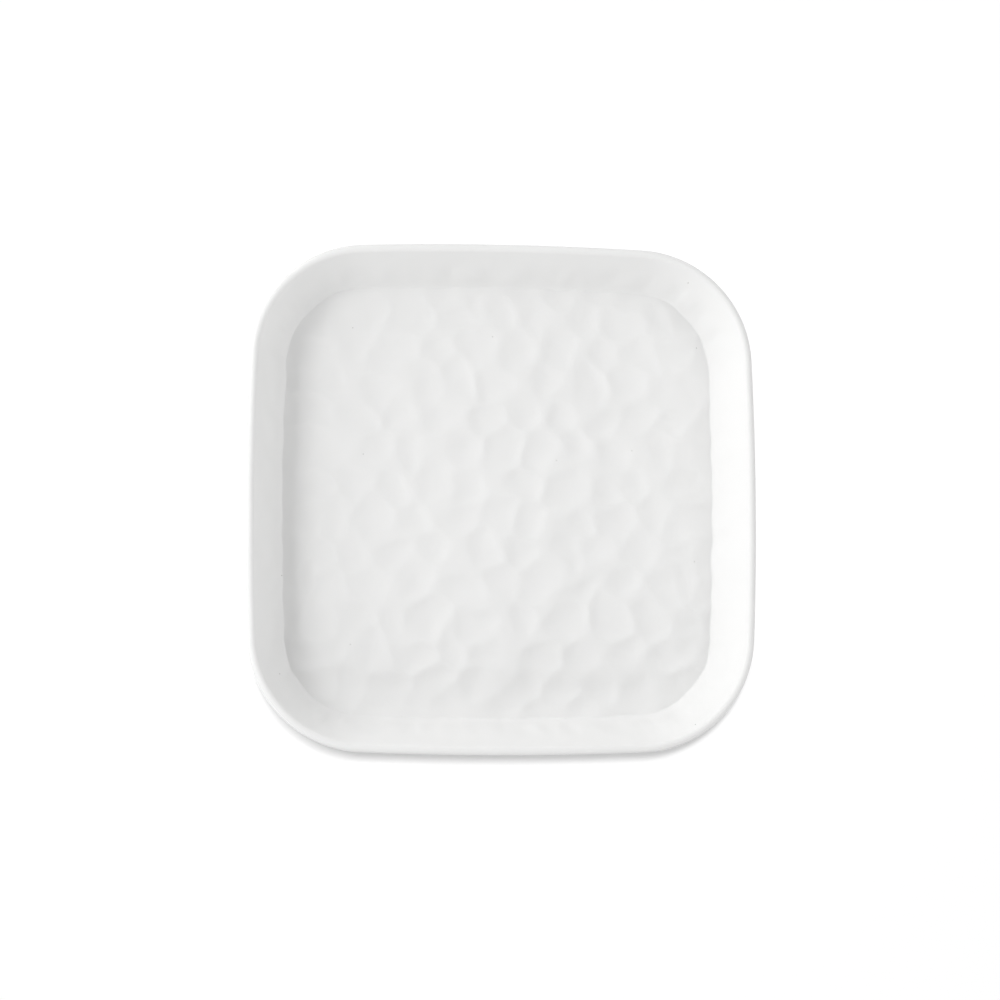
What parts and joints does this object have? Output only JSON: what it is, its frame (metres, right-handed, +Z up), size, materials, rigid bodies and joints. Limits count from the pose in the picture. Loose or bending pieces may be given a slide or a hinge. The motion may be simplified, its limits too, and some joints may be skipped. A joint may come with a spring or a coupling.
{
  "type": "dessert plate",
  "caption": "Square white porcelain dessert plate with rounded corners, gently bowed sides, a flared wall with a rounded lip, a hammered well and a bare foot ring.",
  "frame": {"origin": "on the table under the plate's centre, in the plane of the foot's bearing face", "axes": "+Z up out of the well, +X and +Y square to two neighbouring sides"},
  "size_m": [0.18, 0.18, 0.022],
  "materials": {
    "bisque": "unglazed, fine and matt",
    "glaze": "white gloss"
  },
  "bodies": {
    "root": {"porcelain_body": "bisque", "face_glaze": "glaze", "base_glaze": "glaze"}
  },
  "joints": []
}
